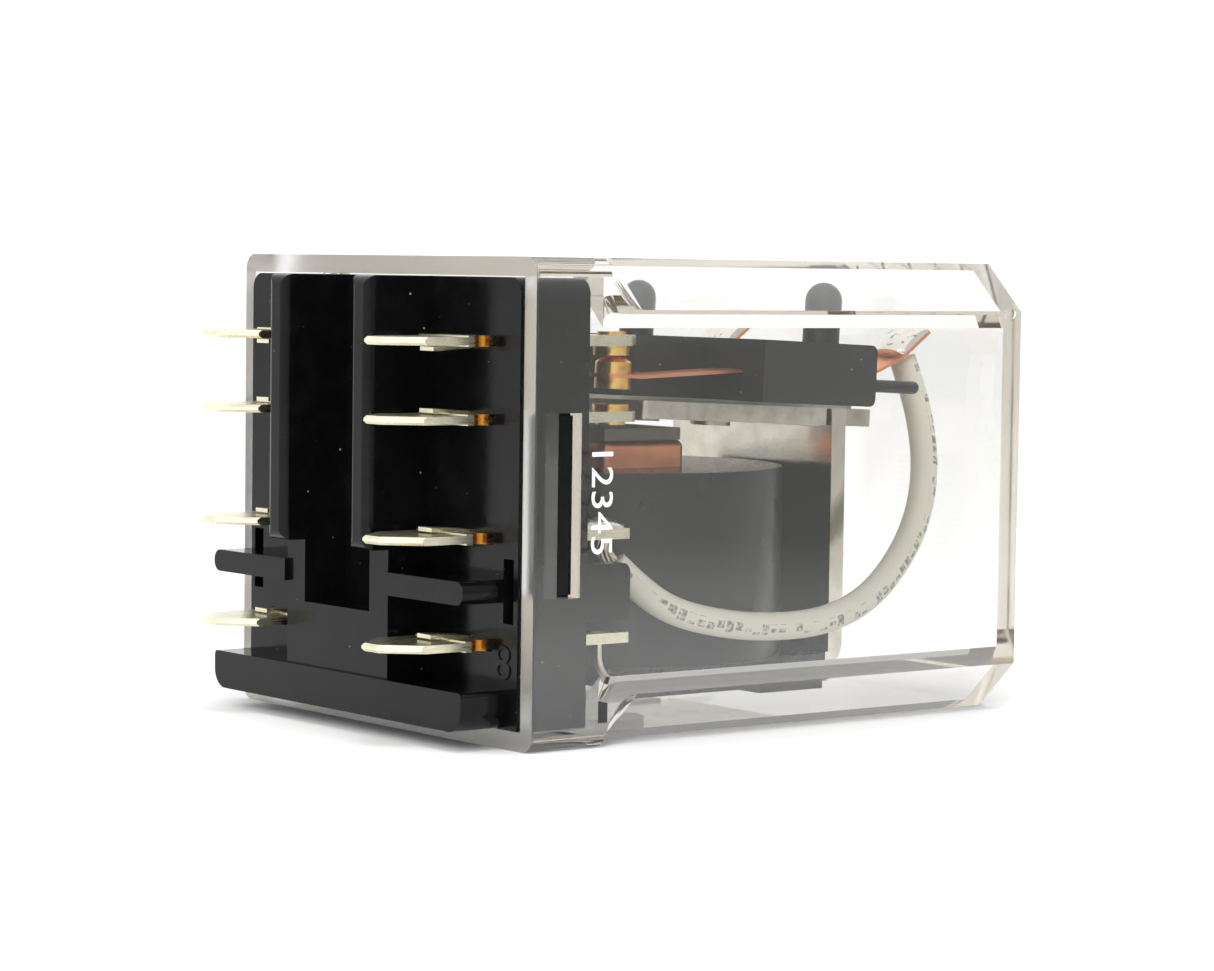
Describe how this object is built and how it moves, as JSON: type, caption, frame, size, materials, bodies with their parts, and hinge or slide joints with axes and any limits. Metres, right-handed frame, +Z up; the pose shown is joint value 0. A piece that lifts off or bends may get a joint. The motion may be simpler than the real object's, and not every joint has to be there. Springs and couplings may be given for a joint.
{
  "type": "plug in relay",
  "caption": "Plug-in power relay with quick-connect blades on a keyed black base, a coil-driven rocking armature with changeover contacts, and a clear dust cover.",
  "frame": {"origin": "on the supporting surface, below the middle of the whole relay, as it lies on one long side in the picture", "axes": "+X from the plug blades towards the closed end of the cover; +Y from the side seen in the picture to the far side; +Z up, towards the normally closed contacts"},
  "size_m": [0.0568, 0.0388, 0.0357],
  "materials": {
    "clear_polycarbonate": "clear moulded polycarbonate, glossy",
    "black_moulding": "glossy black moulded phenolic",
    "plated_steel": "bright zinc-nickel plate",
    "spring_steel": "rolled spring strip",
    "bare_steel": "ground soft iron",
    "copper": "bare copper",
    "black_nylon": "smooth black moulded nylon",
    "enamelled_wire": "enamelled copper wire",
    "dark_tape": "dark polyester tape",
    "tinned_brass": "tinned brass strip",
    "gold_plate": "gold-plated contact",
    "white_insulation": "off-white wire insulation",
    "tinned_copper": "tinned copper wire and strands",
    "solder": "bright solder"
  },
  "bodies": {
    "frame": {"cover": "clear_polycarbonate", "base": "black_moulding", "yoke": "plated_steel", "core": "bare_steel", "shading_ring": "copper", "bobbin": "black_nylon", "winding": "enamelled_wire", "coil_tape": "dark_tape", "frame_screws": "plated_steel", "return_spring": "spring_steel", "nc_terminal_front": "tinned_brass", "no_terminal_front": "tinned_brass", "common_terminal_front": "tinned_brass", "coil_terminal_front": "tinned_brass", "nc_contact_front": "gold_plate", "no_contact_front": "gold_plate", "lead_wire_front": "white_insulation", "lead_strands_front": "tinned_copper", "coil_wire_front": "tinned_copper", "common_solder_front": "solder", "nc_terminal_rear": "tinned_brass", "no_terminal_rear": "tinned_brass", "common_terminal_rear": "tinned_brass", "coil_terminal_rear": "tinned_brass", "nc_contact_rear": "gold_plate", "no_contact_rear": "gold_plate", "lead_wire_rear": "white_insulation", "lead_strands_rear": "tinned_copper", "coil_wire_rear": "tinned_copper", "common_solder_rear": "solder"},
    "armature_assembly": {"armature": "plated_steel", "armature_plate": "spring_steel", "carrier": "black_moulding", "carrier_rivets": "plated_steel", "contact_blade_front": "copper", "moving_contact_front": "gold_plate", "tail_solder_front": "solder", "contact_blade_rear": "copper", "moving_contact_rear": "gold_plate", "tail_solder_rear": "solder"}
  },
  "joints": [
    {"name": "armature_hinge", "type": "hinge", "parent": "frame", "child": "armature_assembly", "pos_m": [0.01678, 0, 0.0226], "axis": [0, -1, 0], "range_deg": [0, 2.6], "stiffness_Nm_per_rad": 0.06, "springref_deg": -3.44, "deforming": ["return_spring", "lead_wire_front", "lead_wire_rear"]}
  ]
}
